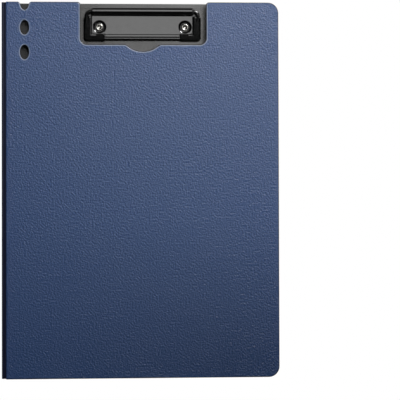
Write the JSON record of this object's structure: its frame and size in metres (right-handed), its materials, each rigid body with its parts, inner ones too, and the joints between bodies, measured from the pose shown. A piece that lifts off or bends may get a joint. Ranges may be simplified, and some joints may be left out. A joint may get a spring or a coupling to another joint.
{
  "type": "folding clipboard",
  "caption": "Folding A4 clipboard: two stiff boards on a ribbed spine, window and pen holes in the cover, and a sprung wire clip in each half.",
  "frame": {"origin": "centre of the closed folder's underside, on the back skin", "axes": "+X from the spine to the free edge, +Y up the page to the upright clip, +Z out of the front cover"},
  "size_m": [0.233, 0.316, 0.0188],
  "materials": {
    "embossed_blue_skin": "fine sand grain embossed polypropylene sheet",
    "core_board": "dark polypropylene board with cut edges",
    "black_liner": "satin polypropylene sheet with a pressed border line",
    "hinge_plastic": "satin extruded polypropylene",
    "black_steel_plate": "black coated pressed sheet steel",
    "black_steel_wire": "gloss black coated spring wire",
    "pad_plastic": "satin moulded plastic",
    "bright_rivet": "bright nickel plate",
    "zinc_washer": "zinc plated"
  },
  "bodies": {
    "back_board": {"back_outer_skin": "embossed_blue_skin", "back_core_board": "core_board", "back_liner": "black_liner", "back_hinge_flange": "hinge_plastic", "portrait_base_plate": "black_steel_plate", "portrait_left_rivet": "bright_rivet", "portrait_right_rivet": "bright_rivet", "portrait_left_washer": "zinc_washer", "portrait_right_washer": "zinc_washer"},
    "spine": {"spine_profile": "hinge_plastic"},
    "front_cover": {"front_outer_skin": "embossed_blue_skin", "front_core_board": "core_board", "front_liner": "black_liner", "front_hinge_flange": "hinge_plastic", "landscape_base_plate": "black_steel_plate", "landscape_lower_rivet": "bright_rivet", "landscape_upper_rivet": "bright_rivet", "landscape_lower_washer": "zinc_washer", "landscape_upper_washer": "zinc_washer"},
    "portrait_lever": {"portrait_wire_lever": "black_steel_wire", "portrait_left_corner_pad": "pad_plastic", "portrait_right_corner_pad": "pad_plastic"},
    "landscape_lever": {"landscape_wire_lever": "black_steel_wire", "landscape_lower_corner_pad": "pad_plastic", "landscape_upper_corner_pad": "pad_plastic"}
  },
  "joints": [
    {"name": "spine_hinge", "type": "hinge", "parent": "back_board", "child": "spine", "pos_m": [-0.11525, 0, 0.00125], "axis": [0, -1, 0], "range_deg": [0, 180]},
    {"name": "cover_hinge", "type": "hinge", "parent": "spine", "child": "front_cover", "pos_m": [-0.11525, 0, 0.01755], "axis": [0, -1, 0], "range_deg": [0, 180]},
    {"name": "portrait_lever_hinge", "type": "hinge", "parent": "back_board", "child": "portrait_lever", "pos_m": [0.00185, 0.15115, 0.00725], "axis": [-1, 0, 0], "range_deg": [0, 100], "stiffness_Nm_per_rad": 0.15, "springref_deg": -85.94},
    {"name": "landscape_lever_hinge", "type": "hinge", "parent": "front_cover", "child": "landscape_lever", "pos_m": [0.10965, 0, 0.01155], "axis": [0, -1, 0], "range_deg": [0, 19], "stiffness_Nm_per_rad": 0.15, "springref_deg": -85.94}
  ]
}
